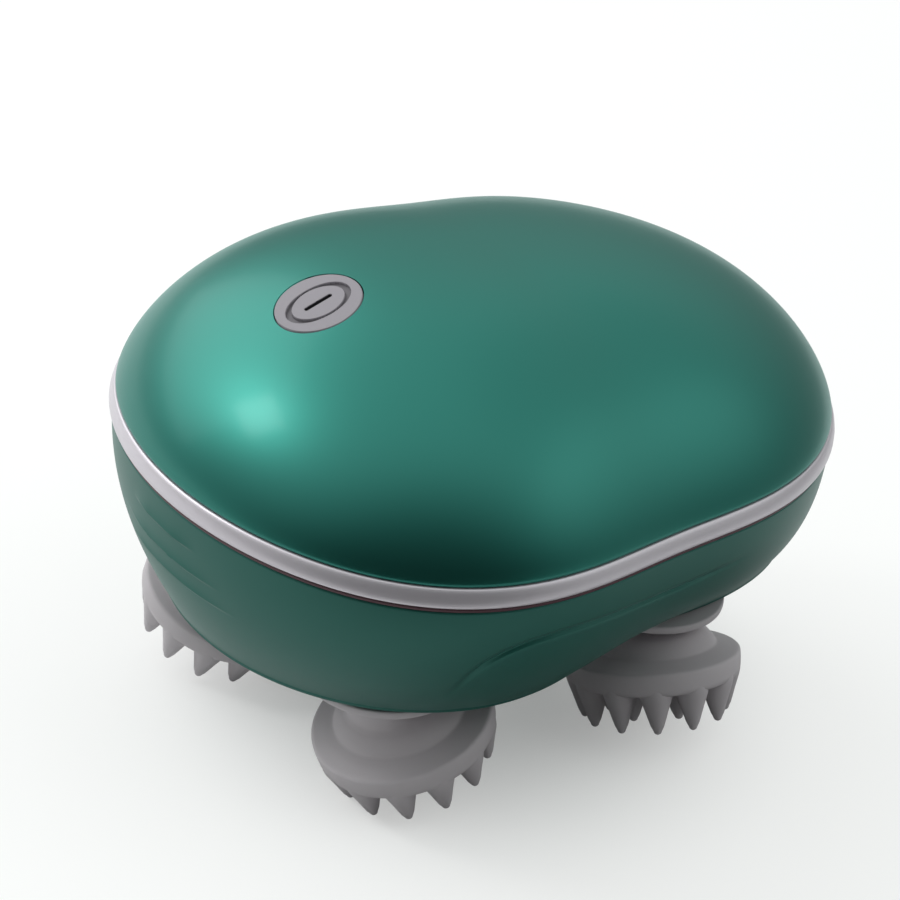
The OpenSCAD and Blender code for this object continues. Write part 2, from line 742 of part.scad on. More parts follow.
module gearbox_cover() {
    color(plate_color) difference() {
        plate(cover_z);
        at_drive(0, motor_y) translate([0, 0, cover_z - past])
            cylinder(r = motor_boss_r + run_gap, h = plate_t + 2*past);
        for (p = gearbox_spots) at_drive(p[0], p[1]) translate([0, 0, cover_z - past])
            cylinder(r = gearbox_screw_r + screw_gap, h = plate_t + 2*past);
        for (e = [-1, 1]) at_drive(e*motor_screw_x, motor_y) translate([0, 0, cover_z - past])
            cylinder(r = motor_screw_r + screw_gap, h = plate_t + 2*past);
    }
}
module gearbox_screws() {
    color(steel_color) for (p = gearbox_spots) at_drive(p[0], p[1]) translate([0, 0, motor_z])
        mirror([0, 0, 1]) screw(gearbox_screw_r, motor_z - floor_z + pilot_depth/3);
}
module bushes(z) {
    color(bronze_color) for (i = [0:3]) at_corner(i) translate([0, 0, z])
        ring(bush_r, shaft_r + run_gap, plate_t);
}

// ---- Motor and battery -----------------------------------------------------------------
motor_screw_l = 6;
module motor() {
    color(steel_color) at_drive(0, motor_y) difference() {
        union() {
            translate([0, 0, motor_z]) cylinder(d = motor_d, h = motor_l);
            translate([0, 0, motor_z - motor_boss_h]) cylinder(r = motor_boss_r, h = motor_boss_h + 1);
        }
        translate([0, 0, motor_z - motor_boss_h - past])
            cylinder(r = motor_shaft_d/2 + run_gap, h = motor_l*shaft_share + motor_boss_h + 2*past);
        for (e = [-1, 1]) translate([e*motor_screw_x, 0, motor_z - past])
            cylinder(r = motor_screw_r, h = motor_screw_l - plate_t + 1.4*past);
    }
}
module motor_screws() {
    color(steel_color) for (e = [-1, 1]) at_drive(e*motor_screw_x, motor_y)
        translate([0, 0, cover_z]) screw(motor_screw_r, motor_screw_l);
}
battery_y = -19.6;
cradle_base_t = 1.6;
cradle_end_t = 1.4;
cradle_gap = 0.1;
battery_z = motor_z + cradle_base_t + battery_d/2;
cradle_w = battery_d*0.86;
cradle_l = battery_l + 2*cradle_end_t + 2*cradle_gap;
module battery() {
    color(cell_color) translate([drive_x - battery_l/2, battery_y, battery_z]) rotate([0, 90, 0]) {
        cylinder(d = battery_d, h = battery_l - 1);
        cylinder(d = battery_d*0.36, h = battery_l);
    }
}
module battery_cradle() {
    color(dark_color) difference() {
        translate([drive_x - cradle_l/2, battery_y - cradle_w/2, motor_z])
            cube([cradle_l, cradle_w, cradle_base_t + battery_d*0.45]);
        translate([drive_x - battery_l/2 - cradle_gap, battery_y, battery_z]) rotate([0, 90, 0])
            cylinder(d = battery_d + 2*cradle_gap, h = battery_l + 2*cradle_gap);
    }
}

lid();
trim_ring();
seal_gasket();
lower_shell();
power_button();
switch_plunger();
tact_switch();
circuit_board();
board_screws();
charge_socket();
port_bezel();
battery();
battery_cradle();
motor();
motor_screws();
motor_shaft();
motor_pinion();
gearbox_base();
gearbox_cover();
gearbox_screws();
central_axle();
reduction_axle();
central_gear();
reduction_gear();
bushes(base_z);  // lower_bushes
bushes(cover_z);  // upper_bushes
shaft_seals();
case_screws();
at_corner(0) spindle_shaft();  // spindle_shaft_front_left
at_corner(1) spindle_shaft();  // spindle_shaft_front_right
at_corner(2) spindle_shaft();  // spindle_shaft_rear_left
at_corner(3) spindle_shaft();  // spindle_shaft_rear_right
at_corner(0) output_gear(0);  // output_gear_front_left
at_corner(1) output_gear(1);  // output_gear_front_right
at_corner(2) output_gear(2);  // output_gear_rear_left
at_corner(3) output_gear(3);  // output_gear_rear_right
at_corner(0) head_hub();  // head_hub_front_left
at_corner(1) head_hub();  // head_hub_front_right
at_corner(2) head_hub();  // head_hub_rear_left
at_corner(3) head_hub();  // head_hub_rear_right
at_corner(0) rotate([0, 0, head_turn[0]]) massage_head();  // massage_head_front_left
at_corner(1) rotate([0, 0, head_turn[1]]) massage_head();  // massage_head_front_right
at_corner(2) rotate([0, 0, head_turn[2]]) massage_head();  // massage_head_rear_left
at_corner(3) rotate([0, 0, head_turn[3]]) massage_head();  // massage_head_rear_right
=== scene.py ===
"""Look of the electric scalp massager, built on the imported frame. Metres, +Z up."""
import json
import math

import bmesh
import bpy
import numpy as np
from mathutils import Matrix, Vector
from mathutils.bvhtree import BVHTree
from mathutils.interpolate import poly_3d_calc


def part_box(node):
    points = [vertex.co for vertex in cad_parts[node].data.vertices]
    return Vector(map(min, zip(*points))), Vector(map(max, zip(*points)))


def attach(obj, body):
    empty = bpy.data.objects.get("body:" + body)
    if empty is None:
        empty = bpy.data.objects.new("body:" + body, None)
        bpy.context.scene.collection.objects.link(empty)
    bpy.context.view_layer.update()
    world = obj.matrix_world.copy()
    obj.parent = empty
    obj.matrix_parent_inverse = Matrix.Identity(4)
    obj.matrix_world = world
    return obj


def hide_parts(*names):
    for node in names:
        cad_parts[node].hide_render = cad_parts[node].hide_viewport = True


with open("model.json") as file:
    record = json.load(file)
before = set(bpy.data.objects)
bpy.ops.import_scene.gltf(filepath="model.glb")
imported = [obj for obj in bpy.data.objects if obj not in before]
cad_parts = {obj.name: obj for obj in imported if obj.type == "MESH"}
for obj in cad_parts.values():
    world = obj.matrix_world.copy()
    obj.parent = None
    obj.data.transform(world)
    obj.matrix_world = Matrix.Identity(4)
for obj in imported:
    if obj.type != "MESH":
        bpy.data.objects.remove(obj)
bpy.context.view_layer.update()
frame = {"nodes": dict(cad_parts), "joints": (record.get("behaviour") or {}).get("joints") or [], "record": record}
nodes = frame["nodes"]
MM = 0.001

# ---- Values that repeat the construction, in millimetres -------------------------------------
BODY_L, BODY_W = 118.0, 97.4
SEAM_Z, TRIM_H, TRIM_RAKE = 50.5, 2.8, 0.7
DOME_H = 27.2
SHELL_Z, FOOT_L, FOOT_W = 24.4, 109.4, 72.8
SIDE_H = SEAM_Z - SHELL_Z
# How much an outline swells, with 1, 2, 3, 4 and 6 waves round it
SEAM_LOBES = (0.013, 0.104, 0.048, -0.022, 0.007)
FOOT_LOBES = (0.046, 0.257, 0.111, 0.02, 0.0)
LID_Z = SEAM_Z + TRIM_H
LID_SET_IN = TRIM_RAKE + 0.2
JOINT_H, JOINT_W = 0.35, 0.5
DOME_SHIFT, DOME_FLAT, DOME_ROUND = -1.9, 2.55, 1.4
WALL_BOW, WALL_RUN, SHELL_SET_IN = 2.5, 0.93, 0.5
CORNERS = ("front_left", "front_right", "rear_left", "rear_right")
LEAN = math.radians(20)
# Turn of each head about its spindle, in degrees
HEAD_TURN = {"front_left": 170, "front_right": 83, "rear_left": 292, "rear_right": 20}


def swell(lobes, a):
    """Radius of a lobed outline at the angle a, around 1."""
    return (1 + lobes[0]*np.cos(a) + lobes[1]*np.cos(2*a) + lobes[2]*np.cos(3*a)
            + lobes[3]*np.cos(4*a) + lobes[4]*np.cos(6*a))


def outline(lobes, length, width, a):
    """Points of a lobed outline of a given length and width."""
    t = np.radians(np.arange(60, 121, 2))
    kx = length/(swell(lobes, 0.0) + swell(lobes, math.pi))
    ky = width/(2*(swell(lobes, t)*np.sin(t)).max())
    return np.stack([kx*swell(lobes, a)*np.cos(a), ky*swell(lobes, a)*np.sin(a)], -1)


def drawn_in(p, d):
    """Points moved towards the middle by d."""
    d = np.asarray(d)[..., None] if np.ndim(d) else d
    return p*(1 - d/np.linalg.norm(p, axis=-1, keepdims=True))


def seam(a):
    """The outline of the part where lid and shell meet."""
    return outline(SEAM_LOBES, BODY_L, BODY_W, a)


MID_X = -(seam(np.array(0.0))[0] + seam(np.array(math.pi))[0])/2


def seam_ring(a, set_in, z):
    """Ring of the seam's outline, drawn in by set_in, at the height z."""
    p = drawn_in(seam(a), set_in)
    return np.stack([MID_X + p[:, 0], p[:, 1], np.full(len(a), z)], -1)


def dome_rise(s):
    """Share of the dome's height at the share s of the rim's size."""
    return (1 - s**DOME_FLAT)**(1/DOME_ROUND)


def dome_ring(a, s, set_in, rise):
    """Ring of the dome at the share s of the rim's size: 1 at the rim, 0 at the top."""
    p = drawn_in(seam(a), set_in)*s
    return np.stack([MID_X + p[:, 0] + DOME_SHIFT*(1 - s), p[:, 1],
                     np.full(len(a), LID_Z + JOINT_H + rise*dome_rise(s))], -1)


# ---- Mesh helpers ----------------------------------------------------------------------------
def new_object(name, verts, faces, smooth=True):
    """A mesh object from points in millimetres."""
    mesh = bpy.data.meshes.new(name)
    mesh.from_pydata([tuple(v) for v in np.asarray(verts)*MM], [], faces)
    mesh.validate()
    mesh.update()
    if smooth:
        mesh.polygons.foreach_set("use_smooth", [True]*len(mesh.polygons))
    obj = bpy.data.objects.new(name, mesh)
    bpy.context.scene.collection.objects.link(obj)
    return obj


def rings_mesh(rings, close=False, cap_first=False, cap_last=False):
    """Quads between rings of equally many points, each ring closed on itself."""
    n, m = len(rings[0]), len(rings)
    verts = np.concatenate(rings)
    faces = []
    pairs = [(i, i + 1) for i in range(m - 1)] + ([(m - 1, 0)] if close else [])
    for i, j in pairs:
        for k in range(n):
            after = (k + 1) % n
            faces.append((i*n + k, i*n + after, j*n + after, j*n + k))
    if cap_first:
        faces.append(tuple(range(n - 1, -1, -1)))
    if cap_last:
        faces.append(tuple((m - 1)*n + k for k in range(n)))
    return verts, faces


def join_parts(parts):
    """Joins (verts, faces) pairs into one."""
    verts, faces, base = [], [], 0
    for v, f in parts:
        verts.append(v)
        faces += [tuple(base + i for i in q) for q in f]
        base += len(v)
    return np.concatenate(verts), faces


def sharp_by_angle(obj, degrees):
    """Makes edges sharp where the faces meet at more than an angle."""
    obj.data.set_sharp_from_angle(angle=math.radians(degrees))


def solid(name, verts, faces):
    """A closed mesh whose faces all point outwards."""
    obj = new_object(name, verts, faces)
    bm = bmesh.new()
    bm.from_mesh(obj.data)
    bmesh.ops.recalc_face_normals(bm, faces=bm.faces)
    bm.to_mesh(obj.data)
    bm.free()
    return obj


def node_solid(name, node):
    """A copy of a node's mesh, welded into one closed mesh."""
    mesh = nodes[node].data.copy()
    mesh.materials.clear()
    bm = bmesh.new()
    bm.from_mesh(mesh)
    bmesh.ops.remove_doubles(bm, verts=bm.verts, dist=1e-6)
    bm.to_mesh(mesh)
    bm.free()
    obj = bpy.data.objects.new(name, mesh)
    bpy.context.scene.collection.objects.link(obj)
    return obj


def apply_steps(obj):
    """Turns the modifiers of an object into its mesh."""
    graph = bpy.context.evaluated_depsgraph_get()
    result = bpy.data.meshes.new_from_object(obj.evaluated_get(graph), preserve_all_data_layers=True,
                                             depsgraph=graph)
    obj.modifiers.clear()
    obj.data = result


def combine(obj, other, operation):
    """Boolean of two solids; the second one is used up."""
    step = obj.modifiers.new("step", "BOOLEAN")
    step.object = other
    step.operation = operation
    step.solver = "MANIFOLD"
    apply_steps(obj)
    bpy.data.objects.remove(other)


def reskinned(name, node, core, skin):
    """A node's own inside, kept within core, under a finely modelled skin."""
    piece = node_solid(name, node)
    combine(piece, core, "INTERSECT")
    combine(piece, skin, "UNION")
    piece.data.polygons.foreach_set("use_smooth", [True]*len(piece.data.polygons))
    sharp_by_angle(piece, 35)
    return piece


# A corner this near a surface lies on it
ON_SURFACE = 0.003*MM


def keep_smooth(piece, surface, at, reach):
    """Gives faces of the piece that lie on the surface, near a point, the surface's own normals."""
    tree = BVHTree.FromPolygons([v.co for v in surface.vertices],
                                [f.vertices for f in surface.polygons])
    mesh = piece.data
    normals = [corner.vector.copy() for corner in mesh.corner_normals]
    for face in mesh.polygons:
        if (face.center - at).length > reach:
            continue
        found = [tree.find_nearest(mesh.vertices[v].co) for v in face.vertices]
        if max(distance for _, _, _, distance in found) > ON_SURFACE:
            continue
        for loop, (place, _, nearest, _) in zip(face.loop_indices, found):
            corners = surface.polygons[nearest].vertices
            weights = poly_3d_calc([surface.vertices[v].co for v in corners], place)
            blend = Vector((0, 0, 0))
            for v, weight in zip(corners, weights):
                blend += surface.vertices[v].normal*weight
            normals[loop] = blend.normalized()
    mesh.normals_split_custom_set(normals)


# ---- Materials -------------------------------------------------------------------------------
# Depth that the grain changes a surface by, in metres
GRAIN_DEPTH = 0.00005


def shader(name, colour, roughness, metallic=0.0, coat=0.0, coat_rough=0.1, noise_scale=None,
           noise_amount=0.0, bump=0.0, bump_scale=4000.0, spec=0.5, tint=(1, 1, 1)):
    """A plain surface, with uneven roughness if it has a noise scale and fine grain if it has bump."""
    material = bpy.data.materials.new(name)
    material.use_nodes = True
    tree = material.node_tree
    surface = tree.nodes["Principled BSDF"]
    surface.inputs["Base Color"].default_value = (*colour, 1)
    surface.inputs["Roughness"].default_value = roughness
    surface.inputs["Metallic"].default_value = metallic
    surface.inputs["Coat Weight"].default_value = coat
    surface.inputs["Coat Roughness"].default_value = coat_rough
    surface.inputs["Specular IOR Level"].default_value = spec
    surface.inputs["Specular Tint"].default_value = (*tint, 1)
    coord = tree.nodes.new("ShaderNodeTexCoord")
    if noise_scale:
        noise = tree.nodes.new("ShaderNodeTexNoise")
        noise.inputs["Scale"].default_value = noise_scale
        noise.inputs["Detail"].default_value = 3.0
        tree.links.new(coord.outputs["Object"], noise.inputs["Vector"])
        uneven = tree.nodes.new("ShaderNodeMapRange")
        uneven.inputs["To Min"].default_value = roughness - noise_amount
        uneven.inputs["To Max"].default_value = roughness + noise_amount
        tree.links.new(noise.outputs["Fac"], uneven.inputs["Value"])
        tree.links.new(uneven.outputs["Result"], surface.inputs["Roughness"])
    if bump:
        grain = tree.nodes.new("ShaderNodeTexNoise")
        grain.inputs["Scale"].default_value = bump_scale
        grain.inputs["Detail"].default_value = 2.0
        tree.links.new(coord.outputs["Object"], grain.inputs["Vector"])
        relief = tree.nodes.new("ShaderNodeBump")
        relief.inputs["Strength"].default_value = bump
        relief.inputs["Distance"].default_value = GRAIN_DEPTH
        tree.links.new(grain.outputs["Fac"], relief.inputs["Height"])
        tree.links.new(relief.outputs["Normal"], surface.inputs["Normal"])
    return material


MATS = {
    "lid_green": shader("lid_green", (0.025, 0.168, 0.138), 0.38, metallic=0.94, coat=0.13,
                        coat_rough=0.14, bump=0.06, bump_scale=9000.0, tint=(0.82, 0.96, 0.94)),
    "shell_green": shader("shell_green", (0.012, 0.105, 0.084), 0.42, metallic=0.35,
                          bump=0.06, bump_scale=9000.0, spec=0.36),
    "trim_silver": shader("trim_silver", (0.57, 0.54, 0.58), 0.4, metallic=0.55, bump=0.05),
    "head_silicone": shader("head_silicone", (0.47, 0.442, 0.462), 0.6,
                            noise_scale=300.0, noise_amount=0.05, bump=0.15, bump_scale=5000.0,
                            spec=0.35),
    "button_grey": shader("button_grey", (0.28, 0.262, 0.29), 0.45, bump=0.1, spec=0.3),
    "dark_plastic": shader("dark_plastic", (0.02, 0.02, 0.022), 0.5, bump=0.1),
    "dark_rubber": shader("dark_rubber", (0.015, 0.015, 0.016), 0.7, bump=0.2),
    "steel": shader("steel", (0.55, 0.56, 0.58), 0.28, metallic=1.0, noise_scale=900.0,
                    noise_amount=0.06),
    "bronze": shader("bronze", (0.48, 0.3, 0.13), 0.38, metallic=1.0, bump=0.2),
    "gear_plastic": shader("gear_plastic", (0.72, 0.69, 0.6), 0.45, bump=0.1),
    "plate_plastic": shader("plate_plastic", (0.5, 0.51, 0.52), 0.5, bump=0.1),
    "board_green": shader("board_green", (0.015, 0.11, 0.035), 0.35, coat=0.3),
    "cell_blue": shader("cell_blue", (0.03, 0.1, 0.26), 0.3, coat=0.4),
}


def dress(obj, slot_name, body, *replaced):
    """Gives a piece the material of a slot and its body, and hides the nodes that it stands for."""
    obj.data.materials.clear()
    obj.data.materials.append(MATS[slot_name])
    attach(obj, body)
    if replaced:
        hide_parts(*replaced)
    return obj


slot_of = {s["node"]: s["material_slot"] for s in frame["record"]["subparts"]}
for node_name, node_obj in nodes.items():
    node_obj.data.materials.clear()
    node_obj.data.materials.append(MATS[slot_of[node_name]])

# ---- Camera ----------------------------------------------------------------------------------
camera = bpy.data.objects.new("camera", bpy.data.cameras.new("camera"))
bpy.context.scene.collection.objects.link(camera)
ELEVATION, AZIMUTH, ROLL = (math.radians(angle) for angle in (28.85, -37.375, 6.365))
# The aimed point lies DISTANCE mm away. SCALE is the pixels to a mm there.
DISTANCE, SCALE, LENS = 376.2, 6.395, 96.232
AIM, AIM_PIXEL, MID_PIXEL = Vector((-3.305, 0, SEAM_Z)), (473.65, 417.69), 450
cam_back = Vector((math.sin(AZIMUTH)*math.cos(ELEVATION), -math.cos(AZIMUTH)*math.cos(ELEVATION),
                   math.sin(ELEVATION)))
level_right = Vector((math.cos(AZIMUTH), math.sin(AZIMUTH), 0))
level_up = cam_back.cross(level_right)
cam_right = math.cos(ROLL)*level_right + math.sin(ROLL)*level_up
cam_up = math.cos(ROLL)*level_up - math.sin(ROLL)*level_right
cam_at = MM*(AIM + DISTANCE*cam_back - (AIM_PIXEL[0] - MID_PIXEL)/SCALE*cam_right
             + (AIM_PIXEL[1] - MID_PIXEL)/SCALE*cam_up)
camera.matrix_world = Matrix((
    (cam_right.x, cam_up.x, cam_back.x, cam_at.x),
    (cam_right.y, cam_up.y, cam_back.y, cam_at.y),
    (cam_right.z, cam_up.z, cam_back.z, cam_at.z),
    (0, 0, 0, 1)))
camera.data.sensor_width = 36.0
camera.data.lens = LENS
camera.data.clip_start = 0.01
camera.data.clip_end = 10.0
bpy.context.scene.camera = camera

# ---- Lid -------------------------------------------------------------------------------------
BUTTON_X, BUTTON_R, BUTTON_GAP = 29.8, 6.4, 0.35
# Step each way, as a share of the rim's size, over which the dome's slope is measured
SLOPE_STEP = 0.02


def dome_at_left(s):
    """Point of the dome above the symmetry line, on the -X side."""
    return dome_ring(np.array([math.pi]), s, LID_SET_IN, DOME_H)[0] - [0, 0, JOINT_H]


button_share = BUTTON_X/np.linalg.norm(drawn_in(seam(np.array(math.pi)), LID_SET_IN))
BUTTON_AT = dome_at_left(button_share)
slope = dome_at_left(button_share + SLOPE_STEP) - dome_at_left(button_share - SLOPE_STEP)
BUTTON_TILT = math.atan2(slope[2], slope[0]) + math.pi
button_normal = np.array([-math.sin(BUTTON_TILT), 0, math.cos(BUTTON_TILT)])
button_along = np.array([math.cos(BUTTON_TILT), 0, math.sin(BUTTON_TILT)])


def in_button_frame(p):
    """Points given in the button's frame, as points of the part."""
    p = np.asarray(p, float)
    return (BUTTON_AT + p[:, :1]*button_along + p[:, 1:2]*np.array([0, 1.0, 0])
            + p[:, 2:3]*button_normal)


def revolve(profile, n=96):
    """Rings of a profile of (radius, height) turned about Z."""
    t = np.linspace(0, 2*np.pi, n, endpoint=False)
    return [np.stack([r*np.cos(t), r*np.sin(t), np.full(n, z)], -1) for r, z in profile]


around = np.linspace(0, 2*np.pi, 360, endpoint=False)
# The finely modelled skin is SKIN deep and reaches OVERLAP into the construction's own inside
SKIN, OVERLAP = 1.3, 0.3
# Solids that cut or core a piece reach BELOW past its edge
BELOW = 1.0
# Shares of the rim's size, closer together near the rim
DOME_RINGS, CROWDING, TOP_REACH = 100, 1.7, 0.985
dome_shares = 1 - np.linspace(0, 1, DOME_RINGS)**CROWDING*TOP_REACH
# The skin's hole is HOLE_EXTRA wider than the construction's. Normals are kept within SMOOTH_REACH.
HOLE_EXTRA, SMOOTH_REACH = 0.03, 1.6*BUTTON_R


def dome_solid(name, depth, low):
    """The solid under the dome's surface, depth below it, down to the height low."""
    rings = [seam_ring(around, LID_SET_IN + depth, low)]
    rings += [dome_ring(around, s, LID_SET_IN + depth, DOME_H - depth) for s in dome_shares[::4]]
    return solid(name, *rings_mesh(rings, cap_first=True, cap_last=True))


# (set in, height) of the rim's rounded edge
lid_edge = ((JOINT_W + 0.5, 0.0), (JOINT_W + 0.5, 0.09), (0.36, 0.1), (0.2, 0.13), (0.07, 0.22))
lid_rings = [seam_ring(around, LID_SET_IN + x, LID_Z + z) for x, z in lid_edge]
lid_rings += [dome_ring(around, s, LID_SET_IN, DOME_H) for s in dome_shares[1:]]
lid_skin = solid("lid_skin", *rings_mesh(lid_rings, cap_first=True, cap_last=True))
uncut_skin = lid_skin.data.copy()
combine(lid_skin, dome_solid("lid_hollow", SKIN, LID_Z - BELOW), "DIFFERENCE")
hole_r = BUTTON_R + BUTTON_GAP + HOLE_EXTRA
hole_rings = [in_button_frame(r) for r in revolve([(hole_r, -8.0), (hole_r, 6.0)], 192)]
combine(lid_skin, solid("hole", *rings_mesh(hole_rings, cap_first=True, cap_last=True)),
        "DIFFERENCE")
lid = reskinned("lid_cover", "lid", dome_solid("lid_core", SKIN - OVERLAP, SEAM_Z - BELOW), lid_skin)
keep_smooth(lid, uncut_skin, Vector(BUTTON_AT)*MM, SMOOTH_REACH*MM)
dress(lid, "lid_green", "housing", "lid")

# ---- Trim ring -------------------------------------------------------------------------------
# (set in, height) round the section of the band
trim_profile = [(2.4, 0.0), (0.35, 0.0), (0.12, 0.04), (0.02, 0.18), (0.0, 0.4), (0.03, 0.9),
                (0.22, 1.7), (0.46, 2.3), (0.66, 2.64), (0.75, 2.72), (0.84, 2.78), (0.92, 2.8),
                (2.4, 2.8)]
trim = solid("trim_band", *rings_mesh(
    [seam_ring(around, x, SEAM_Z + z) for x, z in trim_profile], close=True))
sharp_by_angle(trim, 50)
dress(trim, "trim_silver", "housing", "trim_ring")


# ---- Lower shell -----------------------------------------------------------------------------
def taper(t):
    """How much of the seam's outline is left at the share t of the way down: 1 to 0."""
    return (1 - np.clip(t, 0, 1)**WALL_BOW)**(1/WALL_RUN)


def smooth01(x):
    """Eases from 0 to 1."""
    x = np.clip(x, 0, 1)
    return x*x*(3 - 2*x)


# Ridges of each end: middle of the end in degrees, (share of the side's height, half length in
# degrees) of each ridge, strength
END_RIDGES = ((180.0, ((0.2, 9.0), (0.355, 14.0), (0.485, 17.0)), 1.0),
              (360.0, ((0.3, 9.0), (0.42, 12.0), (0.54, 12.0)), 0.8))
RIDGE_RISE, RIDGE_DROP = 0.6, 0.0006
RIDGE_FADE_FROM, RIDGE_FADE_RUN = 0.35, 0.75
CREST_TOP, CREST_EDGE, CREST_TAIL = 0.15, 0.4, 1.1
# Crease of a long side: share of the side's height at angles in degrees
CREASE_ANGLES = (232, 236, 240, 244.5, 249.5, 255.5, 262.5, 270.5, 279, 287, 295, 305, 314)
CREASE_LEVELS = (0.74, 0.46, 0.33, 0.268, 0.25, 0.252, 0.266, 0.282, 0.286, 0.27, 0.247, 0.242,
                 0.25)
CREASE_START, START_RUN, CREASE_STOP, STOP_RUN = 231.5, 6, 272, 26
CREASE_STEP, STEP_RUN, STEP_TAIL = 0.42, 1.2, 7.0
CREASE_GROOVE, GROOVE_OFF, GROOVE_WIDTH = 0.55, 0.2, 0.55
# The crease's line is a running mean of PATH_MEAN points, and a degree is RUN_PER_DEGREE mm long
PATH_FROM, PATH_TO, PATH_STEP, PATH_MEAN = 228, 320, 0.25, 17
RUN_PER_DEGREE = 0.785
BEAD_LEVEL, BEAD_RISE, BEAD_WIDTH = 0.972, 0.24, 0.2


def end_ridges(side, t):
    """Rise of the short ridges at both ends: a crest that falls off slowly upwards."""
    rise = np.zeros(np.broadcast(side, t).shape)
    for end, ridges, strength in END_RIDGES:
        off = np.abs(side - end)
        for level, half in ridges:
            fade = 1 - smooth01((off - half*RIDGE_FADE_FROM)/(half*RIDGE_FADE_RUN))
            d = (t - level - RIDGE_DROP*off)*SIDE_H
            edge = 1 - smooth01((d + CREST_TOP)/CREST_EDGE)
            crest = edge*np.exp(-np.clip(-d, 0, None)/CREST_TAIL)
            rise += RIDGE_RISE*strength*fade*crest
    return rise


def side_crease(side, t):
    """Depth of the wave-shaped crease: a step down with a groove at its foot."""
    fine = np.arange(PATH_FROM, PATH_TO, PATH_STEP)
    line = np.pad(np.interp(fine, CREASE_ANGLES, CREASE_LEVELS), PATH_MEAN//2, mode="edge")
    path = np.convolve(line, np.ones(PATH_MEAN)/PATH_MEAN, "valid")
    slope_here = np.interp(side, fine, np.gradient(path, fine)*SIDE_H/RUN_PER_DEGREE)
    d = (t - np.interp(side, fine, path))*SIDE_H/np.sqrt(1 + slope_here**2)
    fade = (smooth01((side - CREASE_START)/START_RUN)
            * (1 - smooth01((side - CREASE_STOP)/STOP_RUN)))
    step = smooth01((d + STEP_RUN/2)/STEP_RUN)*np.exp(-np.clip(d, 0, None)/STEP_TAIL)
    groove = np.exp(-((d - GROOVE_OFF)/GROOVE_WIDTH)**2)
    return fade*(CREASE_STEP*step + CREASE_GROOVE*groove)


def shell_relief(a, t):
    """Outward offset of the shell's surface: end ridges, long side creases and the foot's bead."""
    deg = np.degrees(a) % 360
    side = np.where(deg > 180, deg, 360 - deg)
    bead = BEAD_RISE*np.exp(-((t - BEAD_LEVEL)*SIDE_H/BEAD_WIDTH)**2)
    return end_ridges(side, t) - side_crease(side, t) + bead


def side_ring(a, t, d):
    """Ring of the side wall at the share t of the way down, drawn in by d."""
    top = drawn_in(seam(a), SHELL_SET_IN)
    foot = outline(FOOT_LOBES, FOOT_L, FOOT_W, a)
    p = drawn_in(foot + (top - foot)*taper(t), d)
    return np.stack([MID_X + p[:, 0], p[:, 1], np.full(len(a), SEAM_Z - SIDE_H*t)], -1)


def side_solid(name, depth, top, low):
    """The solid inside the shell's side wall, depth in from it, from top down to low."""
    rings = [seam_ring(shell_a, SHELL_SET_IN + depth, top)]
    rings += [side_ring(shell_a, t, depth) for t in np.linspace(0.03, 1, 60)]
    foot = side_ring(shell_a, 1.0, depth)
    foot[:, 2] = low
    return solid(name, *rings_mesh(rings + [foot], cap_first=True, cap_last=True))


shell_a = np.linspace(0, 2*np.pi, 960, endpoint=False)
# Shares of the way down where the side's rings start and stop, and where the rounded foot starts
SIDE_FROM, SIDE_TO, FOOT_LEVEL = 0.046, 0.986, 0.989
SIDE_RINGS, FOOT_ROUND = 124, 0.3
# (set in, depth below the seam) of the upper edge
shell_edge = ((1.5, 0.0), (1.5, 0.8), (0.75, 0.82), (0.6, 0.87), (0.52, 1.0))
shell_rings = [seam_ring(shell_a, x, SEAM_Z - z) for x, z in shell_edge]
shell_rings += [side_ring(shell_a, t, -shell_relief(shell_a, t))
                for t in np.linspace(SIDE_FROM, SIDE_TO, SIDE_RINGS)]
for bend in np.radians(np.arange(0, 91, 15)):
    foot_ring = side_ring(shell_a, FOOT_LEVEL, FOOT_ROUND*(1 - math.cos(bend)))
    foot_ring[:, 2] = SHELL_Z + FOOT_ROUND*(1 - math.sin(bend))
    shell_rings.append(foot_ring)
shell_skin = solid("shell_skin", *rings_mesh(shell_rings, cap_first=True, cap_last=True))
combine(shell_skin, side_solid("shell_hollow", SKIN, SEAM_Z + BELOW, SHELL_Z - BELOW), "DIFFERENCE")
bezel_low, bezel_high = (Vector(c)/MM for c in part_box("port_bezel"))
port = np.array([(bezel_low.x + bezel_high.x)/2, bezel_high.y, (bezel_low.z + bezel_high.z)/2])
port_r = (bezel_high.x - bezel_low.x)/2
port_rings = [port + np.stack([r[:, 0], r[:, 2], r[:, 1]], -1)
              for r in revolve([(port_r, -6.0), (port_r, 6.0)], 64)]
combine(shell_skin, solid("port_hole", *rings_mesh(port_rings, cap_first=True, cap_last=True)),
        "DIFFERENCE")
shell = reskinned("lower_case", "lower_shell",
                  side_solid("shell_core", SKIN - OVERLAP, SEAM_Z + BELOW, SHELL_Z - BELOW),
                  shell_skin)
dress(shell, "shell_green", "housing", "lower_shell")
# (set in, depth below the seam) round the section of the dark red line under the band, a dark band that paints the
# shade in the gap there
joint_profile = [(0.95, 0.04), (0.5, 0.04), (0.43, 0.1), (0.43, 0.68), (0.5, 0.76), (0.95, 0.76)]
joint_shade_line = solid("joint_shade_line", *rings_mesh(
    [seam_ring(around, x, SEAM_Z - z) for x, z in joint_profile], close=True))
dress(joint_shade_line, "dark_rubber", "housing")
# Its dark red is painted shade for the gap under the band.
joint_shade_line.data.materials[0] = shader("joint_red_shade", (0.055, 0.007, 0.018), 0.5, bump=0.1)

# ---- Button ----------------------------------------------------------------------------------
CAP_R = BUTTON_R + 0.2
FACE_RINGS, EDGE_RINGS = np.linspace(0.02, 0.93, 110), np.linspace(0.935, 1, 14)
ring_r = np.concatenate([FACE_RINGS, EDGE_RINGS])*CAP_R
phi = np.linspace(0, 2*np.pi, 288, endpoint=False)
# The face stands PROUD of the lid, crowned by CROWN, and drops by EDGE_DROP over its last EDGE_RUN
PROUD, CROWN, CROWN_POWER = 0.14, 0.06, 2.2
EDGE_DROP, EDGE_RUN = 0.16, 0.025
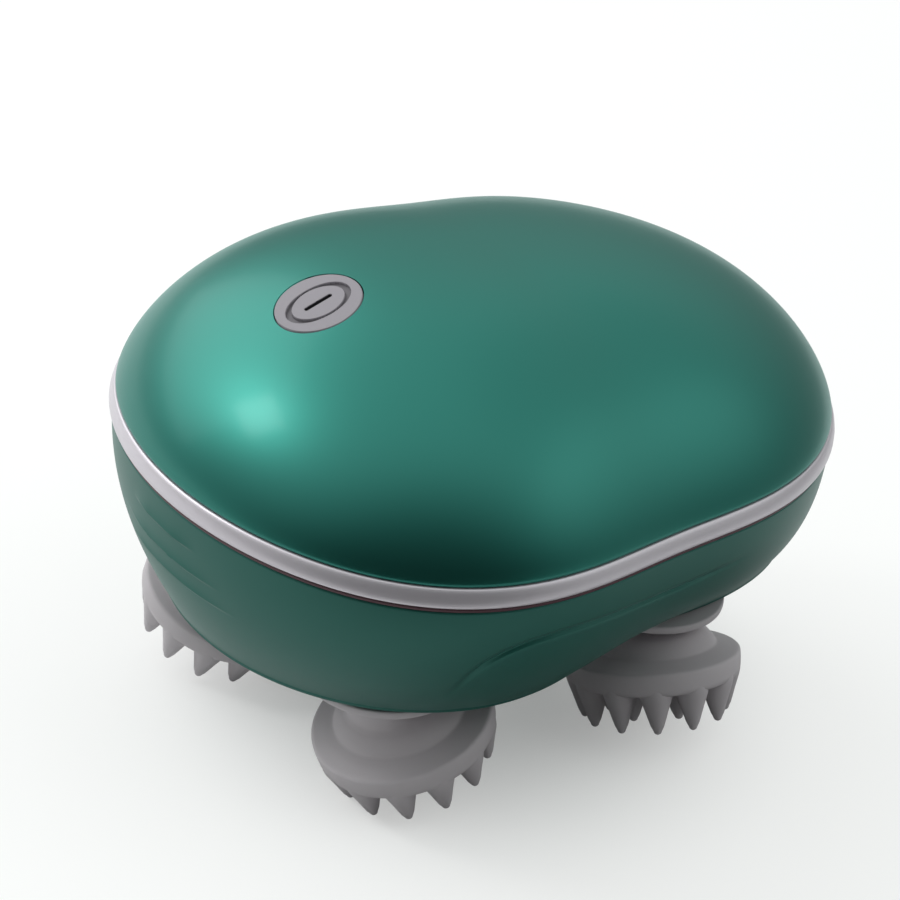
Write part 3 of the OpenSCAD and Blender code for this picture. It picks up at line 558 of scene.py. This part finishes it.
# Sizes of the groove and the bar as shares of the button's radius, depths in millimetres
OVAL_X, OVAL_Y, OVAL_HALF, OVAL_EXTRA = 0.735, 0.565, 0.05, 0.055
BAR_REACH, BAR_HALF = 0.31, 0.05
GROOVE_DEPTH, BAR_DEPTH, EDGE_SOFT = 0.5, 0.9, 0.03
# (radius, height) of the sides, the flange and the stem
CAP_SIDE = ((CAP_R, -1.2), (CAP_R, -3.6), (BUTTON_R + 1.1, -3.6), (BUTTON_R + 1.1, -4.4),
            (2.2, -4.4), (2.2, -6.2))


def groove_edge(x, y):
    """Distance out of the oval groove, below 0 inside it."""
    oval = np.hypot(x/(OVAL_X*BUTTON_R), y/(OVAL_Y*BUTTON_R))
    half = OVAL_HALF + OVAL_EXTRA*(np.abs(x)/np.maximum(np.hypot(x, y), 1e-6))**2
    return np.abs(oval - 1) - half


def bar_edge(x, y):
    """Distance out of the short bar, below 0 inside it."""
    return np.hypot(np.maximum(np.abs(x) - BAR_REACH*BUTTON_R, 0), y)/BUTTON_R - BAR_HALF


def button_height(x, y):
    """Height of the button's face: crowned, rounded at its edge, with the groove and the bar."""
    r = np.hypot(x, y)/CAP_R
    z = PROUD - CROWN*r**CROWN_POWER
    z -= EDGE_DROP*smooth01((r - 1 + EDGE_RUN)/EDGE_RUN)**2
    z -= GROOVE_DEPTH*(1 - smooth01(groove_edge(x, y)/EDGE_SOFT + 0.5))
    z -= BAR_DEPTH*(1 - smooth01(bar_edge(x, y)/EDGE_SOFT + 0.5))
    return z


cap_rings = []
for r in ring_r:
    x, y = r*np.cos(phi), r*np.sin(phi)
    cap_rings.append(np.stack([x, y, button_height(x, y)], -1))
cap_rings += [np.stack([r*np.cos(phi), r*np.sin(phi), np.full(len(phi), height)], -1)
              for r, height in CAP_SIDE]
button = solid("button_cap", *rings_mesh([in_button_frame(r) for r in cap_rings],
                                         cap_first=True, cap_last=True))
sharp_by_angle(button, 60)
dress(button, "button_grey", "button", "power_button")
# The groove's and the bar's faces get darker greys: painted shade inside these recesses.
button.data.materials.append(shader("button_groove_shade", (0.14, 0.13, 0.145), 0.5, spec=0.3))
button.data.materials.append(shader("button_bar_shade", (0.02, 0.018, 0.022), 0.5, spec=0.3))
GROOVE_SHADE_SLOT, BAR_SHADE_SLOT, FACE_REACH = 1, 2, 0.93*CAP_R
for face in button.data.polygons:
    at = np.array(face.center)/MM - BUTTON_AT
    x, y, z = at @ button_along, at[1], at @ button_normal
    if z > -1.0 and math.hypot(x, y) < FACE_REACH:
        if bar_edge(x, y) < 0.01:
            face.material_index = BAR_SHADE_SLOT
        elif groove_edge(x, y) < 0.0:
            face.material_index = GROOVE_SHADE_SLOT

# ---- Massage heads ---------------------------------------------------------------------------
DISC_LOW, TOOTH_L, TIP_R = 14.2, 7.7, 0.7
TOOTH_RING, INNER_RING, INNER_TOOTH_L = 11.35, 7.2, 6.9
# Number of teeth, radius of their ring, share of the full length
TOOTH_ROWS = ((12, TOOTH_RING, 1.0), (6, INNER_RING, INNER_TOOTH_L/TOOTH_L))
LEAN_Z = (DISC_LOW + TOOTH_L - TIP_R)*math.cos(LEAN) + TOOTH_RING*math.sin(LEAN) + TIP_R
# Rings of the head: lean of the ring's axis in degrees, distance below the pivot, radius
HEAD_PROFILE = (
    (0, 8.06, 0.05), (0, 8.06, 4.24), (0, 1.6, 4.24), (0, 1.6, 8.54), (0, 0.4535, 8.54),
    (0, 0.4535, 12.0), (0, 0.5, 12.22), (0, 0.62, 12.36), (0, 0.85, 12.4),
    (0, 1.45, 12.4), (0, 1.7, 12.34), (0, 1.85, 12.15), (0, 1.92, 11.85), (0, 2.02, 11.0),
    (0, 2.2, 10.0), (0, 2.55, 8.8), (0, 3.0, 7.9), (0, 3.6, 7.2), (0, 4.2, 6.75), (0, 4.8, 6.5),
    (4, 5.4, 6.45), (9, 5.95, 6.65), (14, 6.4, 7.0), (18, 6.8, 7.45), (20, 7.15, 7.9),
    (20, 7.6, 8.5), (20, 8.1, 9.05), (20, 8.7, 9.6), (20, 9.3, 10.05), (20, 9.8, 10.3),
    (20, 10.05, 10.45), (20, 10.2, 10.75), (20, 10.4, 11.4), (20, 10.7, 12.3), (20, 11.0, 13.2),
    (20, 11.12, 13.75), (20, 11.24, 14.05), (20, 11.45, 14.25), (20, 11.7, 14.3),
    (20, 12.7, 14.3), (20, 14.0, 14.2), (20, 14.7, 14.05), (20, 15.05, 13.7), (20, 15.2, 13.0),
    (20, 15.2, 10.4), (20, 15.0, 9.6), (20, 14.6, 9.1), (20, 14.2, 8.9), (20, 14.2, 0.05))
# (radius, height over the disc's lower side)
TOOTH_PROFILE = [(2.86, 0.6), (2.84, -0.2), (2.78, -0.9), (2.6, -1.6), (2.3, -2.5), (1.9, -3.7),
                 (1.5, -5.0), (1.08, -6.3)]
TOOTH_PROFILE += [(TIP_R*math.cos(b), TIP_R - TOOTH_L - TIP_R*math.sin(b))
                  for b in np.radians((8, 25, 42, 58, 74, 88))]


def leaning(p, lean):
    """Points whose Z is measured from the pivot along a leaning axis, as points of the head."""
    c, s = math.cos(lean), math.sin(lean)
    x, y, z = p[:, 0], p[:, 1], p[:, 2]
    return np.stack([c*x + s*z, y, -s*x + c*z + LEAN_Z], -1)


def head_mesh():
    """Flange, neck and disc, with the teeth of both rows."""
    body = [leaning(revolve([(r, -d)])[0], math.radians(lean)) for lean, d, r in HEAD_PROFILE]
    parts = [rings_mesh(body, cap_first=True, cap_last=True)]
    for count, radius, share in TOOTH_ROWS:
        for k in range(count):
            angle = 2*math.pi*k/count
            foot = np.array([radius*math.cos(angle), radius*math.sin(angle), -DISC_LOW])
            tooth = [leaning(ring + foot, LEAN)
                     for ring in revolve([(r, z*share) for r, z in TOOTH_PROFILE], 24)]
            parts.append(rings_mesh(tooth, cap_first=True, cap_last=True))
    return join_parts(parts)


head_verts, head_faces = head_mesh()
for corner in CORNERS:
    joint = next(j for j in frame["joints"] if j["name"] == corner + "_spin")
    turn = math.radians(HEAD_TURN[corner])
    cosine, sine = math.cos(turn), math.sin(turn)
    pivot_x, pivot_y = joint["pos_m"][0]/MM, joint["pos_m"][1]/MM
    turned = np.stack([pivot_x + cosine*head_verts[:, 0] - sine*head_verts[:, 1],
                       pivot_y + sine*head_verts[:, 0] + cosine*head_verts[:, 1],
                       head_verts[:, 2]], -1)
    head = solid("silicone_head_" + corner, turned, head_faces)
    sharp_by_angle(head, 70)
    dress(head, "head_silicone", "head_" + corner, "massage_head_" + corner)


# ---- Floor -----------------------------------------------------------------------------------
def eased_level(tree, source, operation, other, start, stop, low, high):
    """A value that eases from low to high as a measure of the source runs from start to stop."""
    measure = tree.nodes.new("ShaderNodeVectorMath")
    measure.operation = operation
    measure.inputs[1].default_value = other
    level = tree.nodes.new("ShaderNodeMapRange")
    level.interpolation_type = "SMOOTHSTEP"
    level.inputs["From Min"].default_value = start
    level.inputs["From Max"].default_value = stop
    level.inputs["To Min"].default_value = low
    level.inputs["To Max"].default_value = high
    tree.links.new(source, measure.inputs[0])
    tree.links.new(measure.outputs["Value"], level.inputs["Value"])
    return level.outputs["Result"]


def product(tree, one, other):
    """The product of two values."""
    times = tree.nodes.new("ShaderNodeMath")
    times.operation = "MULTIPLY"
    tree.links.new(one, times.inputs[0])
    tree.links.new(other, times.inputs[1])
    return times.outputs["Value"]


TO_CAMERA = Vector((cam_back.x, cam_back.y, 0)).normalized()
SIDEWAYS = Vector((-TO_CAMERA.y, TO_CAMERA.x, 0))
FLOOR_FRONT, FLOOR_RIGHT, FLOOR_REACH = 150.0, 200.0, 3000.0
NEAR_WHITE = (0.975, 0.985, 0.975, 1)
# The glow's low level near the middle is painted shade: the floor shows darker round the part.
# Middle, start and stop of the change in metres, level inside it and level outside it
GLOW_AND_SHADE_LEVELS = ((0, 0, 0), 0.012, 0.062, 0.26, 0.64)
SHADOW_TONE_LEVELS = ((0.016, -0.045, 0), 0.03, 0.085, 0.3, 0.95)
floor = new_object("floor", [tuple(TO_CAMERA*x + SIDEWAYS*y) for x, y in (
    (FLOOR_FRONT, -FLOOR_REACH), (FLOOR_FRONT, FLOOR_RIGHT), (-FLOOR_REACH, FLOOR_RIGHT),
    (-FLOOR_REACH, -FLOOR_REACH))], [(0, 1, 2, 3)], smooth=False)
floor_white = shader("floor_white", (0.9, 0.905, 0.9), 0.9, spec=0.0)
floor_tree = floor_white.node_tree
floor_surface = floor_tree.nodes["Principled BSDF"]
position = floor_tree.nodes.new("ShaderNodeNewGeometry").outputs["Position"]
to_camera = floor_tree.nodes.new("ShaderNodeLightPath").outputs["Is Camera Ray"]

# The camera sees the floor partly glowing, so that it fades to the white behind it; it glows less near the middle,
# which paints the floor darker round the part as painted shade
glow = floor_tree.nodes.new("ShaderNodeEmission")
glow.inputs["Color"].default_value = NEAR_WHITE
whiter = floor_tree.nodes.new("ShaderNodeMixShader")
glow_and_shade_share = eased_level(floor_tree, position, "DISTANCE", *GLOW_AND_SHADE_LEVELS)
floor_tree.links.new(product(floor_tree, to_camera, glow_and_shade_share), whiter.inputs["Fac"])

# Reflections and bounced light see it without the glow, with a painted shadow that greys it near the right front
shade = floor_tree.nodes.new("ShaderNodeMix")
shade.data_type = "RGBA"
floor_tree.links.new(to_camera, shade.inputs["Factor"])
shadow_grey = floor_tree.nodes.new("ShaderNodeCombineColor")
# Painted shadow: the floor's colour is darker within reach of a point at the right front.
shadow_tone = eased_level(floor_tree, position, "DISTANCE", *SHADOW_TONE_LEVELS)
for channel in ("Red", "Green", "Blue"):
    floor_tree.links.new(shadow_tone, shadow_grey.inputs[channel])
floor_tree.links.new(shadow_grey.outputs["Color"], shade.inputs["A"])
shade.inputs["B"].default_value = (0.95, 0.955, 0.95, 1)
floor_tree.links.new(shade.outputs["Result"], floor_surface.inputs["Base Color"])
floor_tree.links.new(floor_surface.outputs["BSDF"], whiter.inputs[1])
floor_tree.links.new(glow.outputs["Emission"], whiter.inputs[2])
floor_tree.links.new(whiter.outputs["Shader"], floor_tree.nodes["Material Output"].inputs["Surface"])
floor.data.materials.append(floor_white)


# ---- World -----------------------------------------------------------------------------------
def towards(azimuth, rise):
    """Unit vector at an azimuth in degrees, with its rise over a level run of 1."""
    a = math.radians(azimuth)
    return Vector((math.cos(a), math.sin(a), rise)).normalized()


# Direction, start and stop of the change as cosines from it, level away from it and level at it
SKY_LEVELS = ((Vector((0, 0, 1)), 0.0, 0.85, 0.38, 1.2),
              (towards(-125, -0.14), 0.14, 0.77, 1.0, 0.09),
              (towards(-42, 0.48), 0.86, 0.99, 1.0, 1.6),
              (towards(-8, 1.5), 0.82, 0.99, 1.0, 0.8))
world = bpy.data.worlds.new("studio")
bpy.context.scene.world = world
world.use_nodes = True
sky_tree = world.node_tree
sky = sky_tree.nodes["Background"]
sky.inputs["Color"].default_value = (0.97, 1.0, 0.99, 1)
direction = sky_tree.nodes.new("ShaderNodeTexCoord").outputs["Generated"]
factors = [eased_level(sky_tree, direction, "DOT_PRODUCT", *levels) for levels in SKY_LEVELS]
strength = factors[0]
for factor in factors[1:]:
    strength = product(sky_tree, strength, factor)
sky_tree.links.new(strength, sky.inputs["Strength"])

# The camera itself sees an even white
white = sky_tree.nodes.new("ShaderNodeBackground")
white.inputs["Color"].default_value = NEAR_WHITE
white.inputs["Strength"].default_value = 1.0
seen = sky_tree.nodes.new("ShaderNodeMixShader")
sky_tree.links.new(sky_tree.nodes.new("ShaderNodeLightPath").outputs["Is Camera Ray"],
                   seen.inputs["Fac"])
sky_tree.links.new(sky.outputs["Background"], seen.inputs[1])
sky_tree.links.new(white.outputs["Background"], seen.inputs[2])
sky_tree.links.new(seen.outputs["Shader"], sky_tree.nodes["World Output"].inputs["Surface"])

# ---- Lamps -----------------------------------------------------------------------------------
TARGET, LAMP_DISTANCE = Vector((0, 0, 0.05)), 1.0


def area_light(name, azimuth, elevation, size_x, size_y, power):
    """A lamp that faces the part, at an azimuth and elevation in degrees. Size in metres."""
    data = bpy.data.lights.new(name, "AREA")
    data.shape = "RECTANGLE"
    data.size = size_x
    data.size_y = size_y
    data.energy = power
    obj = bpy.data.objects.new(name, data)
    bpy.context.scene.collection.objects.link(obj)
    az, el = math.radians(azimuth), math.radians(elevation)
    away = Vector((math.cos(az)*math.cos(el), math.sin(az)*math.cos(el), math.sin(el)))
    obj.location = TARGET + LAMP_DISTANCE*away
    obj.rotation_euler = (TARGET - obj.location).to_track_quat("-Z", "Y").to_euler()


area_light("key_box", 140, 37, 0.2, 0.2, 1.4)
area_light("side_box", 112, 30, 0.9, 0.75, 3.8)

bpy.context.scene.view_settings.view_transform = "Standard"
